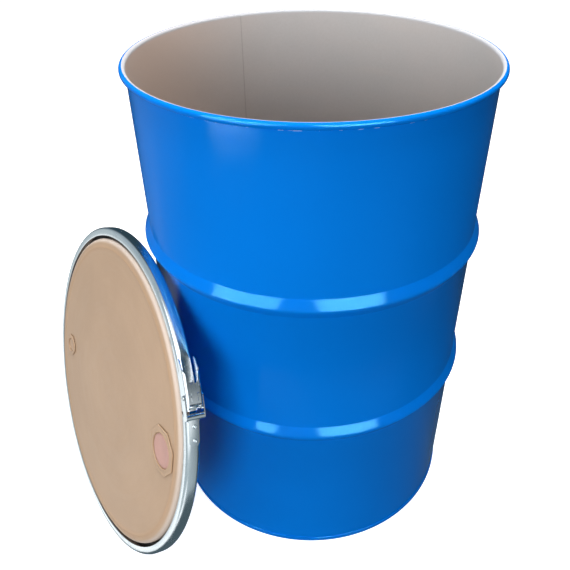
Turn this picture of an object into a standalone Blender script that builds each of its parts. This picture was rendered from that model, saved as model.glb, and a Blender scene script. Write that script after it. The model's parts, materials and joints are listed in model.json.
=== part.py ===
"""Open-head steel drum, with its lid and lever-lock closing ring leaning against its side.

The drum stands on the floor at the origin, its axis along +Z.  The lid, inside its
closing ring, stands on its edge on the -X side and leans on the upper rolling hoop.
Profiles are (radius, height) pairs in millimetres; objects are placed in metres.
"""
import math

import bmesh
import bpy
from mathutils import Matrix, Vector

MM = 0.001

# Drum body, millimetres
BODY_RADIUS = 285.75        # inside radius of the cylinder
SHEET = 1.2
BODY_HEIGHT = 870.0
BODY_END = 2.4              # lower edge of the body sheet, inside the bottom seam
HOOP_HEIGHTS = (317.0, 588.0)
HOOP_RISE = 10.0
HOOP_WIDTH = 36.0
CURL_RADIUS = 5.0           # outside radius of the rolled top edge
CURL_ARC_END = -150.0       # where the roll stops, degrees about its own centre
DRUM_SEGMENTS = 48

# Bottom head and double seam
HEAD_CENTRE_HEIGHT = 6.0    # underside of the middle panel above the floor
HEAD_RIM_HEIGHT = 14.0
HEAD_PANEL_RADIUS = 224.0
SEAM_HEIGHT = 11.0
SEAM_GAP = 0.45

# Lid, in its own frame: +Z is the outside face, z = 0 the middle of the closing ring
LID_UNDERSIDE = -14.0
LID_PANEL_RADIUS = 277.5    # where the flat panel turns up into the wall
LID_WALL_RADIUS = 285.0     # outside of the wall that plugs into the drum's mouth
LID_CHANNEL_TOP = 9.6
LID_RIM_RADIUS = 302.4
LID_SEGMENTS = 48

# Closing ring
RING_RADIUS = 305.6
RING_SHEET = 1.5
RING_HALF_WIDTH = 11.6
RING_LIP_RADIUS = 291.0
RING_HALF_SEGMENTS = 30
RING_HINGE_RADIUS = 299.0
RING_END_A = -5.0           # arc length from the lever pivot, towards the split
RING_END_B = -8.0
RING_HINGE_GAP = 1.2

# Where the lid stands
LID_LEAN = 16.55            # degrees from upright
LID_CENTRE_X = -391.2
LID_CENTRE_Y = 76.4
FLOOR_GAP = 0.4
BUNG_DIRECTION = 10.5       # degrees above the horizontal through the lid's centre

# Bungs
BUNG_RADIUS = 225.0
LARGE_THREAD = 29.5
LARGE_OCTAGON = 44.0
SMALL_THREAD = 13.2
SMALL_OCTAGON = 23.0
BUNG_SEGMENTS = 24          # a multiple of eight, for the octagons

# Latch, in the frame of the lever pivot: x along the ring, y outwards, z across it
LATCH_ANGLE = -21.0         # lever pivot, degrees from the large bung's direction
LEVER_PIVOT = (0.0, RING_RADIUS + 6.5)
LINK_PIVOT = (15.0, RING_RADIUS + 4.3)
CATCH_ARC = -15.0
CATCH_RISE = 5.4
PIN_RADIUS = 2.3
PIN_CLEARANCE = 0.35
EAR_INSIDE = 8.0
EAR_OUTSIDE = 9.8
CHEEK_INSIDE = 12.4
CHEEK_OUTSIDE = 13.9
STRAP_INSIDE = 14.4
STRAP_OUTSIDE = 15.9
LEVER_INSIDE_RISE = 10.5
LEVER_OUTSIDE_RISE = 12.0
LEVER_PLATE_ARC = (4.5, 34.0)
PRONG_ARC = 74.0
CATCH_PLATE_ARC = (-63.7, -15.0)
CATCH_HALF_WIDTH = 10.0
CATCH_RIVET_ARCS = (-31.5, -54.0)
PIVOT_RIVET_ARC = 6.5
PIVOT_RIVET_SIDE = 4.6
PLATE_GAP = 0.4             # under a plate that lies on the ring
RIVET_RADIUS = 2.5


def clear_scene():
    for item in list(bpy.data.objects):
        bpy.data.objects.remove(item, do_unlink=True)


def make_material(name, colour, roughness, metallic=0.0):
    material = bpy.data.materials.new(name)
    material.use_nodes = True
    shader = material.node_tree.nodes["Principled BSDF"]
    shader.inputs["Base Color"].default_value = (*colour, 1.0)
    shader.inputs["Roughness"].default_value = roughness
    shader.inputs["Metallic"].default_value = metallic
    return material


def make_frame(name, matrix, parent=None):
    """An empty that carries a local coordinate frame."""
    frame = bpy.data.objects.new(name, None)
    bpy.context.collection.objects.link(frame)
    frame.parent = parent
    frame.matrix_local = matrix
    return frame


def add_object(name, mesh_data, material, parent=None, origin=(0.0, 0.0, 0.0)):
    """Closes, orients and shades a bmesh in millimetres, and places it by its origin."""
    bmesh.ops.recalc_face_normals(mesh_data, faces=mesh_data.faces)
    shift = Vector(origin)
    for vertex in mesh_data.verts:
        vertex.co = (vertex.co - shift) * MM
    mesh = bpy.data.meshes.new(name)
    mesh_data.to_mesh(mesh)
    mesh_data.free()
    mesh.shade_smooth()
    mesh.set_sharp_from_angle(angle=math.radians(35))
    item = bpy.data.objects.new(name, mesh)
    bpy.context.collection.objects.link(item)
    item.parent = parent
    item.location = shift * MM
    if material is not None:
        mesh.materials.append(material)
    return item


def turned_mesh(profile, segments, start=0.0, sweep=360.0, outline=None, centre=(0.0, 0.0)):
    """Turns a closed (radius, height) profile about Z.

    outline maps a profile index and an angle to a radius where a collar isn't round.
    """
    mesh_data = bmesh.new()
    full = abs(sweep - 360.0) < 1e-6
    stations = segments if full else segments + 1
    rings = []
    poles = {}
    for station in range(stations):
        angle = math.radians(start + sweep * station / segments)
        ring = []
        for index, (radius, height) in enumerate(profile):
            if radius == 0.0:
                if index not in poles:
                    poles[index] = mesh_data.verts.new((*centre, height))
                ring.append(poles[index])
                continue
            if outline is not None:
                radius = outline(index, radius, angle)
            x = centre[0] + radius * math.cos(angle)
            y = centre[1] + radius * math.sin(angle)
            ring.append(mesh_data.verts.new((x, y, height)))
        rings.append(ring)
    count = len(profile)
    spans = segments if full else stations - 1
    for station in range(spans):
        ring = rings[station]
        following = rings[(station + 1) % stations]
        for index in range(count):
            after = (index + 1) % count
            corners = [ring[index], following[index], following[after], ring[after]]
            unique = list(dict.fromkeys(corners))
            if len(unique) > 2:
                mesh_data.faces.new(unique)
    if not full:
        mesh_data.faces.new(rings[0])
        mesh_data.faces.new(list(reversed(rings[-1])))
    return mesh_data


def extruded_mesh(outline, low, high):
    """A prism: a closed (x, y) outline between two heights."""
    mesh_data = bmesh.new()
    lower = [mesh_data.verts.new((x, y, low)) for x, y in outline]
    upper = [mesh_data.verts.new((x, y, high)) for x, y in outline]
    mesh_data.faces.new(lower)
    mesh_data.faces.new(list(reversed(upper)))
    for index in range(len(outline)):
        after = (index + 1) % len(outline)
        mesh_data.faces.new((lower[index], lower[after], upper[after], upper[index]))
    return mesh_data


def as_operand(item):
    """Marks an object as a Boolean operand, so it isn't a piece of its own."""
    item.hide_render = True
    item.display_type = "WIRE"
    return item


def combine(target, operand, operation):
    modifier = target.modifiers.new(operation.lower() + "_" + operand.name, "BOOLEAN")
    modifier.operation = operation
    modifier.solver = "EXACT"
    modifier.object = as_operand(operand)


def arc(centre, radius, first, last, steps):
    """Points on an arc, from one angle to another in degrees."""
    points = []
    for step in range(steps + 1):
        angle = math.radians(first + (last - first) * step / steps)
        points.append((centre[0] + radius * math.cos(angle), centre[1] + radius * math.sin(angle)))
    return points


def on_ring(radius, arc_length):
    """A point of the latch frame at a radius, and at an arc length along the ring."""
    angle = arc_length / RING_RADIUS
    return (radius * math.sin(angle), radius * math.cos(angle))


def along_ring(radius, first, last, steps):
    return [on_ring(radius, first + (last - first) * step / steps) for step in range(steps + 1)]


def pin_hole(target, centre, half_length, parent, radius=PIN_RADIUS):
    """Bores a hole across the latch for a pin of the given radius."""
    outline = arc(centre, radius + PIN_CLEARANCE, 0.0, 337.5, 15)
    cutter = add_object(target.name + "_bore", extruded_mesh(outline, -half_length, half_length),
                        None, parent)
    combine(target, cutter, "DIFFERENCE")


# Drum ------------------------------------------------------------------------

def hoop_points(centre_height, radius):
    """A rolling hoop swaged out of the wall, as a raised cosine."""
    points = []
    steps = 6
    for step in range(steps + 1):
        share = step / steps
        height = centre_height + HOOP_WIDTH * (share - 0.5)
        rise = HOOP_RISE * 0.5 * (1.0 - math.cos(2.0 * math.pi * share))
        points.append((radius + rise, height))
    return points


def body_profile():
    """The body sheet from the bottom seam over both hoops into the open curl at the top."""
    outside = BODY_RADIUS + SHEET
    centre = (BODY_RADIUS + CURL_RADIUS, BODY_HEIGHT - CURL_RADIUS)
    outer = [(outside, BODY_END)]
    inner = [(BODY_RADIUS, BODY_END)]
    for height in HOOP_HEIGHTS:
        outer += hoop_points(height, outside)
        inner += hoop_points(height, BODY_RADIUS)
    # The curl leaves the wall at its inner side, and turns over the top and down outside
    inner += arc(centre, CURL_RADIUS, 180.0, CURL_ARC_END, 8)
    outer += arc(centre, CURL_RADIUS - SHEET, 180.0, CURL_ARC_END, 8)
    return inner + list(reversed(outer))


def make_body_shell(material):
    add_object("body_shell", turned_mesh(body_profile(), DRUM_SEGMENTS), material)


def make_bottom_head(material):
    """Dished head whose edge is folded round the end of the body sheet."""
    wall_inner = BODY_RADIUS - SEAM_GAP - SHEET
    wall_outer = BODY_RADIUS - SEAM_GAP
    leg_inner = BODY_RADIUS + SHEET + SEAM_GAP
    leg_outer = leg_inner + SHEET
    slope = 12.0
    chamfer = 0.8
    profile = [
        (0.0, HEAD_CENTRE_HEIGHT),
        (HEAD_PANEL_RADIUS, HEAD_CENTRE_HEIGHT),
        (HEAD_PANEL_RADIUS + slope, HEAD_RIM_HEIGHT),
        (wall_inner - 6.0, HEAD_RIM_HEIGHT),
        (wall_inner, HEAD_RIM_HEIGHT - 4.0),
        (wall_inner, chamfer),
        (wall_inner + chamfer, 0.0),
        (leg_outer - chamfer, 0.0),
        (leg_outer, chamfer),
        (leg_outer, SEAM_HEIGHT),
        (leg_inner, SEAM_HEIGHT),
        (leg_inner, SHEET),
        (wall_outer, SHEET),
        (wall_outer, HEAD_RIM_HEIGHT - 2.0),
        (wall_outer - 5.0, HEAD_RIM_HEIGHT + SHEET),
        (HEAD_PANEL_RADIUS + slope, HEAD_RIM_HEIGHT + SHEET),
        (HEAD_PANEL_RADIUS, HEAD_CENTRE_HEIGHT + SHEET),
        (0.0, HEAD_CENTRE_HEIGHT + SHEET),
    ]
    add_object("bottom_head", turned_mesh(profile, DRUM_SEGMENTS), material)


def make_seam_compound(material):
    """Bead of sealing compound between the head and the end of the body."""
    low = SHEET + 0.3
    high = BODY_END - 0.3
    profile = [
        (BODY_RADIUS - 0.15, low),
        (BODY_RADIUS + SHEET + 0.15, low),
        (BODY_RADIUS + SHEET + 0.15, high),
        (BODY_RADIUS - 0.15, high),
    ]
    add_object("bottom_seam_compound", turned_mesh(profile, DRUM_SEGMENTS), material)


# Lid -------------------------------------------------------------------------

def lid_frame():
    """The lid stands on its edge, its outside face turned to the drum and slightly down."""
    lean = math.radians(LID_LEAN)
    lowest = max(radius * math.cos(lean) + height * math.sin(lean)
                 for radius, height in ring_profile())
    place = Matrix.Translation(Vector((LID_CENTRE_X, LID_CENTRE_Y, lowest + FLOOR_GAP)) * MM)
    tip = Matrix.Rotation(math.radians(90.0 + LID_LEAN), 4, "Y")
    roll = Matrix.Rotation(math.radians(-90.0 - BUNG_DIRECTION), 4, "Z")
    return make_frame("lid_frame", place @ tip @ roll)


def lid_profile():
    """Pressed panel, corner, wall and the channel that sits over the drum's curl."""
    under = LID_UNDERSIDE
    upper = LID_UNDERSIDE + SHEET
    top = LID_CHANNEL_TOP
    rim = LID_RIM_RADIUS
    wall = LID_WALL_RADIUS
    inside = wall - SHEET
    return [
        (0.0, upper), (LID_PANEL_RADIUS, upper), (inside - 2.2, upper + 1.7),
        (inside, upper + 5.6), (inside, top - 4.2), (inside + 1.8, top - 1.3),
        (inside + 4.4, top), (rim - 4.8, top), (rim - 1.2, top - 1.8), (rim, top - 4.6),
        (rim, -3.5), (rim - SHEET, -3.5), (rim - SHEET, top - 5.0), (rim - 2.2, top - 2.8),
        (rim - 5.2, top - SHEET), (wall + 3.6, top - SHEET), (wall + 1.6, top - 2.1),
        (wall, top - 4.6), (wall, upper + 5.2), (wall - 2.7, under + 1.3),
        (LID_PANEL_RADIUS, under), (0.0, under),
    ]


def make_lid_panel(material, frame):
    lid = add_object("lid_panel", turned_mesh(lid_profile(), LID_SEGMENTS), material, frame)
    for side, thread in ((1.0, LARGE_THREAD), (-1.0, SMALL_THREAD)):
        outline = arc((side * BUNG_RADIUS, 0.0), thread + 4.5, 0.0, 345.0, 23)
        mesh_data = extruded_mesh(outline, LID_UNDERSIDE - 5.0, LID_UNDERSIDE + 5.0)
        name = "large_hole" if side > 0 else "small_hole"
        combine(lid, add_object(name, mesh_data, None, frame), "DIFFERENCE")


def make_lid_gasket(material, frame):
    top = LID_CHANNEL_TOP - SHEET - 0.4
    inner = LID_WALL_RADIUS + 2.4
    outer = LID_RIM_RADIUS - 3.0
    profile = [(inner, top - 4.0), (outer, top - 4.0), (outer, top - 1.6), (outer - 2.2, top),
               (inner + 1.6, top), (inner, top - 1.4)]
    add_object("lid_gasket", turned_mesh(profile, LID_SEGMENTS), material, frame)


# Bungs -----------------------------------------------------------------------

def octagon_radius(circumradius, angle):
    """Distance from an octagon's centre to its edge, with a flat facing angle zero."""
    eighth = math.pi / 4.0
    within = math.fmod(angle + 2.0 * math.pi + 0.5 * eighth, eighth) - 0.5 * eighth
    return circumradius * math.cos(0.5 * eighth) / math.cos(within)


def make_bung_flange(name, centre, thread, octagon, material, frame):
    """Octagonal base inside the lid, with a threaded neck standing through the lid's hole."""
    base_low = LID_UNDERSIDE - 3.2
    base_high = LID_UNDERSIDE - 1.5
    neck_top = LID_UNDERSIDE + SHEET + 6.5
    bore = thread + 0.5
    neck = thread + 4.0
    profile = [(bore, base_low), (octagon, base_low), (octagon, base_high), (neck, base_high),
               (neck, neck_top), (bore, neck_top)]

    def outline(index, radius, angle):
        return octagon_radius(octagon, angle) if index in (1, 2) else radius

    half_step = 180.0 / BUNG_SEGMENTS
    mesh_data = turned_mesh(profile, BUNG_SEGMENTS, half_step, outline=outline, centre=centre)
    add_object(name, mesh_data, material, frame)


def make_flange_gasket(name, centre, thread, octagon, material, frame):
    low = LID_UNDERSIDE - 1.2
    high = LID_UNDERSIDE - 0.3
    profile = [(thread + 4.5, low), (octagon * 0.86, low), (octagon * 0.86, high),
               (thread + 4.5, high)]
    add_object(name, turned_mesh(profile, BUNG_SEGMENTS, centre=centre), material, frame)


def make_bung_plug(name, centre, thread, material, frame):
    """Screw plug: a cup with a flanged head, turned from outside by a bar across the cup."""
    end = LID_UNDERSIDE - 1.8
    head_low = LID_UNDERSIDE + SHEET + 8.2
    head_high = head_low + 2.4
    cup = thread - 3.0
    profile = [(0.0, end), (thread - 1.0, end), (thread, end + 1.0), (thread, head_low),
               (thread + 3.8, head_low), (thread + 3.8, head_high), (cup, head_high),
               (cup, end + 2.2), (0.0, end + 2.2)]
    origin = (*centre, head_low)
    plug = add_object(name, turned_mesh(profile, BUNG_SEGMENTS, centre=centre), material, frame,
                      origin)
    half = 0.16 * thread
    bar = [(centre[0] - cup - 1.0, centre[1] - half), (centre[0] + cup + 1.0, centre[1] - half),
           (centre[0] + cup + 1.0, centre[1] + half), (centre[0] - cup - 1.0, centre[1] + half)]
    mesh_data = extruded_mesh(bar, end + 1.0, head_high - 1.5)
    combine(plug, add_object(name + "_bar", mesh_data, None, frame), "UNION")


def make_plug_gasket(name, centre, thread, material, frame):
    neck_top = LID_UNDERSIDE + SHEET + 6.5
    low = neck_top + 0.3
    high = neck_top + 1.4
    profile = [(thread + 0.4, low), (thread + 3.6, low), (thread + 3.6, high),
               (thread + 0.4, high)]
    mesh_data = turned_mesh(profile, BUNG_SEGMENTS, centre=centre)
    add_object(name, mesh_data, material, frame, (*centre, low))


def make_bungs(lid_material, plug_material, rubber, frame):
    sizes = (("large", 1.0, LARGE_THREAD, LARGE_OCTAGON), ("small", -1.0, SMALL_THREAD, SMALL_OCTAGON))
    for size, side, thread, octagon in sizes:
        centre = (side * BUNG_RADIUS, 0.0)
        make_bung_flange(size + "_bung_flange", centre, thread, octagon, lid_material, frame)
        make_flange_gasket(size + "_flange_gasket", centre, thread, octagon, rubber, frame)
        make_bung_plug(size + "_bung_plug", centre, thread, plug_material, frame)
        make_plug_gasket(size + "_plug_gasket", centre, thread, rubber, frame)


# Closing ring ----------------------------------------------------------------

def ring_profile():
    """C-section that grips the lid's channel and the drum's curl between its flanges."""
    out = RING_RADIUS
    wide = RING_HALF_WIDTH
    skin = RING_SHEET
    half = [(RING_LIP_RADIUS, wide), (out - 5.3, wide), (out - 1.6, wide - 1.55), (out, wide - 5.2)]
    inside = [(RING_LIP_RADIUS, wide - skin), (out - 5.6, wide - skin), (out - 2.7, wide - 2.65),
              (out - skin, wide - 5.5)]
    outer = half + [(radius, -height) for radius, height in reversed(half)]
    inner = inside + [(radius, -height) for radius, height in reversed(inside)]
    return outer + list(reversed(inner))


def ring_half(name, first_arc, last_arc, material, frame):
    """Half of the ring, in the latch frame, between two arc lengths from the lever pivot."""
    per_arc = math.degrees(1.0 / RING_RADIUS)
    start = 90.0 - first_arc * per_arc
    sweep = -(last_arc - first_arc) * per_arc
    mesh_data = turned_mesh(ring_profile(), RING_HALF_SEGMENTS, start, sweep)
    hinge = ring_hinge_point()
    return add_object(name, mesh_data, material, frame, (hinge[0], hinge[1], 0.0))


def ring_hinge_point():
    """The point of the ring opposite its split, in the latch frame."""
    split = 0.5 * (RING_END_A + RING_END_B)
    half_turn = math.pi * RING_RADIUS
    return on_ring(RING_HINGE_RADIUS, split + half_turn)


def make_ring(material, frame):
    split = 0.5 * (RING_END_A + RING_END_B)
    half_turn = math.pi * RING_RADIUS
    gap = 0.5 * RING_HINGE_GAP
    half_a = ring_half("ring_half_a", RING_END_A, split + half_turn - gap, material, frame)
    half_b = ring_half("ring_half_b", RING_END_B, split - half_turn + gap, material, frame)
    for index, arc_length in enumerate(CATCH_RIVET_ARCS):
        radial_hole(half_b, f"catch_ring_hole_{index + 1}", arc_length, 0.0, frame)
    for index, side in enumerate((-1.0, 1.0)):
        radial_hole(half_a, f"pivot_ring_hole_{index + 1}", PIVOT_RIVET_ARC,
                    side * PIVOT_RIVET_SIDE, frame)


def radial_matrix(arc_length, side):
    """Places a shape made along +Z so that it points outwards from the ring's web."""
    angle = arc_length / RING_RADIUS
    turn = Matrix.Rotation(-angle, 4, "Z") @ Matrix.Rotation(math.radians(-90.0), 4, "X")
    seat = Matrix.Rotation(-angle, 4, "Z") @ Vector((0.0, RING_RADIUS * MM, 0.0))
    return Matrix.Translation(seat + Vector((0.0, 0.0, side * MM))) @ turn


def radial_hole(target, name, arc_length, side, frame):
    outline = arc((0.0, 0.0), RIVET_RADIUS + PIN_CLEARANCE, 0.0, 337.5, 15)
    cutter = add_object(name, extruded_mesh(outline, -5.0, 5.0), None, frame)
    cutter.matrix_local = radial_matrix(arc_length, side)
    combine(target, cutter, "DIFFERENCE")


def make_rivet(name, arc_length, side, plate_top, material, frame):
    """Button-headed rivet through a plate and the ring's web, its tail flush with the inside."""
    tail = -RING_SHEET
    profile = [(0.0, tail), (RIVET_RADIUS, tail), (RIVET_RADIUS, plate_top + 0.3),
               (RIVET_RADIUS + 1.5, plate_top + 0.3), (RIVET_RADIUS + 0.8, plate_top + 1.1),
               (0.0, plate_top + 1.4)]
    rivet = add_object(name, turned_mesh(profile, 12), material, frame)
    rivet.matrix_local = radial_matrix(arc_length, side)


# Latch -----------------------------------------------------------------------

def make_pivot_bracket(material, frame):
    """Base plate on ring end A, with two ears that carry the lever's pin."""
    low = RING_RADIUS + PLATE_GAP
    high = low + 1.5
    base_arc = (-4.5, 10.5)
    base = along_ring(low, *base_arc, 3) + along_ring(high, base_arc[1], base_arc[0], 3)
    bracket = add_object("pivot_bracket", extruded_mesh(base, -EAR_OUTSIDE, EAR_OUTSIDE),
                         material, frame)
    ear = [on_ring(low + 0.6, 4.2)] + arc(LEVER_PIVOT, 4.0, 0.0, 180.0, 8) + [on_ring(low + 0.6, -4.2)]
    for side, name in ((-1.0, "ear_near"), (1.0, "ear_far")):
        low_side, high_side = sorted((side * EAR_INSIDE, side * EAR_OUTSIDE))
        operand = add_object(name, extruded_mesh(ear, low_side, high_side), None, frame)
        combine(bracket, operand, "UNION")
    pin_hole(bracket, LEVER_PIVOT, EAR_OUTSIDE + 1.0, frame)
    for index, side in enumerate((-1.0, 1.0)):
        radial_hole(bracket, f"pivot_plate_hole_{index + 1}", PIVOT_RIVET_ARC,
                    side * PIVOT_RIVET_SIDE, frame)


def make_catch_bracket(material, frame):
    """Plate on ring end B whose end is turned up into the lip that the link hooks over."""
    low = RING_RADIUS + PLATE_GAP
    high = low + 2.0
    lip_top = RING_RADIUS + CATCH_RISE
    half = 0.8
    first, last = CATCH_PLATE_ARC
    outline = along_ring(low, first, last + half, 5)
    outline += [on_ring(lip_top, last + half), on_ring(lip_top + half, last + 0.5 * half),
                on_ring(lip_top + half, last - 0.5 * half), on_ring(lip_top, last - half)]
    outline += along_ring(high, last - half, first, 5)
    mesh_data = extruded_mesh(outline, -CATCH_HALF_WIDTH, CATCH_HALF_WIDTH)
    bracket = add_object("catch_bracket", mesh_data, material, frame)
    for index, arc_length in enumerate(CATCH_RIVET_ARCS):
        radial_hole(bracket, f"catch_plate_hole_{index + 1}", arc_length, 0.0, frame)


def lever_cheek_outline():
    """Side of the lever: round at the pivot, and tapering to a prong beside the ring."""
    top = RING_RADIUS + LEVER_OUTSIDE_RISE
    plate_end = LEVER_PLATE_ARC[1]
    outline = arc(LEVER_PIVOT, 5.5, 90.0, 250.0, 8)
    outline += along_ring(RING_RADIUS - 2.5, 6.0, 50.0, 5)
    outline += [on_ring(RING_RADIUS + 1.0, PRONG_ARC - 3.0), on_ring(RING_RADIUS + 3.0, PRONG_ARC),
                on_ring(RING_RADIUS + 5.0, PRONG_ARC - 3.0)]
    outline += along_ring(top, plate_end + 3.0, LEVER_PLATE_ARC[0] - 0.5, 5)
    return outline


def make_lever(material, frame):
    """Forked lever: a plate over the ring joined to a cheek on each side of it."""
    low = RING_RADIUS + LEVER_INSIDE_RISE
    high = RING_RADIUS + LEVER_OUTSIDE_RISE
    first, last = LEVER_PLATE_ARC
    plate = along_ring(low, first, last, 5) + along_ring(high, last, first, 5)
    lever = add_object("lever", extruded_mesh(plate, 0.3 - CHEEK_OUTSIDE, CHEEK_OUTSIDE - 0.3),
                       material, frame, (*LEVER_PIVOT, 0.0))
    for side, name in ((-1.0, "cheek_near"), (1.0, "cheek_far")):
        low_side, high_side = sorted((side * CHEEK_INSIDE, side * CHEEK_OUTSIDE))
        mesh_data = extruded_mesh(lever_cheek_outline(), low_side, high_side)
        combine(lever, add_object(name, mesh_data, None, frame), "UNION")
    pin_hole(lever, LEVER_PIVOT, CHEEK_OUTSIDE + 1.0, frame)
    pin_hole(lever, LINK_PIVOT, CHEEK_OUTSIDE + 1.0, frame)


def strap_outline():
    """Side strap of the link, from its eye on the lever to its hook over the catch."""
    catch = on_ring(RING_RADIUS + CATCH_RISE, CATCH_ARC)
    return arc(LINK_PIVOT, 4.2, -90.0, 90.0, 8) + arc(catch, 5.0, 90.0, 270.0, 8)


def make_link(material, frame):
    """Two straps outside the lever's cheeks, joined by a rolled hook that pulls on the catch."""
    catch = on_ring(RING_RADIUS + CATCH_RISE, CATCH_ARC)
    hook = arc(catch, 5.0, 0.0, 195.0, 10) + arc(catch, 3.6, 195.0, 0.0, 10)
    inset = STRAP_OUTSIDE - 0.3
    link = add_object("link", extruded_mesh(hook, -inset, inset), material, frame,
                      (*LINK_PIVOT, 0.0))
    for side, name in ((-1.0, "strap_near"), (1.0, "strap_far")):
        low_side, high_side = sorted((side * STRAP_INSIDE, side * STRAP_OUTSIDE))
        mesh_data = extruded_mesh(strap_outline(), low_side, high_side)
        combine(link, add_object(name, mesh_data, None, frame), "UNION")
    pin_hole(link, LINK_PIVOT, STRAP_OUTSIDE + 1.0, frame)


def make_pins(material, frame):
    """The lever's flush pin, and the link's pin with a head outside each strap."""
    half = CHEEK_OUTSIDE - 0.2
    straight = [(0.0, -half), (PIN_RADIUS, -half), (PIN_RADIUS, half), (0.0, half)]
    mesh_data = turned_mesh(straight, 16, centre=LEVER_PIVOT)
    add_object("lever_pin", mesh_data, material, frame, (*LEVER_PIVOT, 0.0))
    inner = STRAP_OUTSIDE + 0.3
    outer = inner + 1.2
    head = PIN_RADIUS + 1.4
    headed = [(0.0, -outer), (head, -outer), (head, -inner), (PIN_RADIUS, -inner),
              (PIN_RADIUS, inner), (head, inner), (head, outer), (0.0, outer)]
    mesh_data = turned_mesh(headed, 16, centre=LINK_PIVOT)
    add_object("link_pin", mesh_data, material, frame, (*LINK_PIVOT, 0.0))


def make_latch(material, frame):
    make_pivot_bracket(material, frame)
    make_catch_bracket(material, frame)
    make_lever(material, frame)
    make_link(material, frame)
    make_pins(material, frame)
    for index, arc_length in enumerate(CATCH_RIVET_ARCS):
        make_rivet(f"catch_rivet_{index + 1}", arc_length, 0.0, PLATE_GAP + 2.0, material, frame)
    for index, side in enumerate((-1.0, 1.0)):
        make_rivet(f"pivot_rivet_{index + 1}", PIVOT_RIVET_ARC, side * PIVOT_RIVET_SIDE,
                   PLATE_GAP + 1.5, material, frame)


def main():
    clear_scene()
    blue = make_material("blue_gloss_paint", (0.0, 0.145, 0.68), 0.25)
    lacquer = make_material("beige_lacquer", (0.47, 0.34, 0.26), 0.4)
    plug_lacquer = make_material("plug_lacquer", (0.5, 0.32, 0.26), 0.45)
    zinc = make_material("galvanised_steel", (0.7, 0.72, 0.73), 0.32, 1.0)
    rubber = make_material("black_rubber", (0.02, 0.02, 0.02), 0.7)
    make_body_shell(blue)
    make_bottom_head(blue)
    make_seam_compound(rubber)
    lid = lid_frame()
    make_lid_panel(lacquer, lid)
    make_lid_gasket(rubber, lid)
    make_bungs(lacquer, plug_lacquer, rubber, lid)
    turn = Matrix.Rotation(math.radians(LATCH_ANGLE - 90.0), 4, "Z")
    latch = make_frame("latch_frame", turn, lid)
    make_ring(zinc, latch)
    make_latch(zinc, latch)
    bpy.context.view_layer.update()


main()
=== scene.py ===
"""Looks of the open-head steel drum, its lid and its lever-lock closing ring.

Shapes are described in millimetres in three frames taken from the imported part's joints:
the drum's own (the row frame), the lid's (+Z its outside face, +X towards the large bung,
z = 0 the middle of the closing ring) and the latch's (x along the ring, y outwards).
"""

import json
from math import atan2, ceil, cos, degrees, fmod, pi, radians, sin, sqrt, tan

import bmesh
import bpy
from mathutils import Matrix, Vector
from mathutils.geometry import delaunay_2d_cdt


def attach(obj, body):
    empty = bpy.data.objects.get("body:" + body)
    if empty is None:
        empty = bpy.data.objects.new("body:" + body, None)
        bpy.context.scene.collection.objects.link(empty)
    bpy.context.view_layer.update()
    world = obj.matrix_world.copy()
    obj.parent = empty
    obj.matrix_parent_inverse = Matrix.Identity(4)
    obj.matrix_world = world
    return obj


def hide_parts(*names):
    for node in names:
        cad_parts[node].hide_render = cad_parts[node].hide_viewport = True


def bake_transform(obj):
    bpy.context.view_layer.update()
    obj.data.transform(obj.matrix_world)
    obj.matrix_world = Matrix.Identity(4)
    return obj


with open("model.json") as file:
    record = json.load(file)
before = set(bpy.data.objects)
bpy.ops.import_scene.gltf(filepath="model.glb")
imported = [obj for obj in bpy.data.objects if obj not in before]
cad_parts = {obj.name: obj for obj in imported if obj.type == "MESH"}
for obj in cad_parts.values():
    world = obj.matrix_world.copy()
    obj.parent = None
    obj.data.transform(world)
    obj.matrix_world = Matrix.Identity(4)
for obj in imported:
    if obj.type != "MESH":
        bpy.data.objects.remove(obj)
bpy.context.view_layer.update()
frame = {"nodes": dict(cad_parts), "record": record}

MM = 0.001
TAU = 2.0 * pi

# Drum
BODY_RADIUS = 285.75
SHEET = 1.2
FILM = 0.3  # lacquer film that lines the inside
FILM_GAP = 0.02  # keeps the film clear of the steel behind it
BODY_HEIGHT = 870.0
BODY_END = 2.4
HOOP_HEIGHTS = (317.0, 588.0)
HOOP_RISE = 10.0
HOOP_WIDTH = 36.0
HOOP_STEPS = 24
HOOP_CREST = 0.02  # how widely the hoop's crest is rounded
FILLET_SHARE = 0.18  # share of the hoop's rise that its foot takes
FILLET_SLOPE = 0.35  # the foot's first slope, as a share of the face's
CURL_RADIUS = 5.0
CURL_CENTRE = (BODY_RADIUS + CURL_RADIUS, BODY_HEIGHT - CURL_RADIUS)
CURL_START = 180.0  # the curl's ends, in degrees about its centre
CURL_END = -165.0
HEAD_CENTRE_HEIGHT = 6.0
HEAD_RIM_HEIGHT = 14.0
HEAD_PANEL_RADIUS = 224.0
SEAM_HEIGHT = 11.0
SEAM_GAP = 0.45
SEAM_AZIMUTH = 83.5  # the body's welded side seam, degrees
SEAM_LAP = 0.25
SEAM_STATIONS = (-0.42, -0.3, -0.14, 0.14, 0.3, 0.42)  # degrees from its middle
SEAM_REACH = 0.31  # half the lap's width, degrees
FILM_EDGE = 86.0  # where the lining stops on the curl
FILM_END = FILM_EDGE + 3.0
# painted warm shade: the lining tinted warmer down one side
WARM_SHADE_SIDE = 2.4  # azimuth of the lining's warmer side, radians
DRUM_SEGMENTS = 288

# Lid
LID_UNDERSIDE = -14.0
LID_PANEL_RADIUS = 277.5
LID_BEAD_RADIUS = 269.0  # shallow stiffening bead pressed into the panel
LID_BEAD_DEPTH = 0.7
LID_WALL_RADIUS = 285.0
LID_CHANNEL_TOP = 9.6
LID_RIM_RADIUS = 302.4
# Bungs: name, side of the lid's centre, thread radius and pitch, octagon's circumradius
BUNGS = (("large", 1.0, 29.5, 2.309, 44.0), ("small", -1.0, 13.2, 1.814, 23.0))

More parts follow.
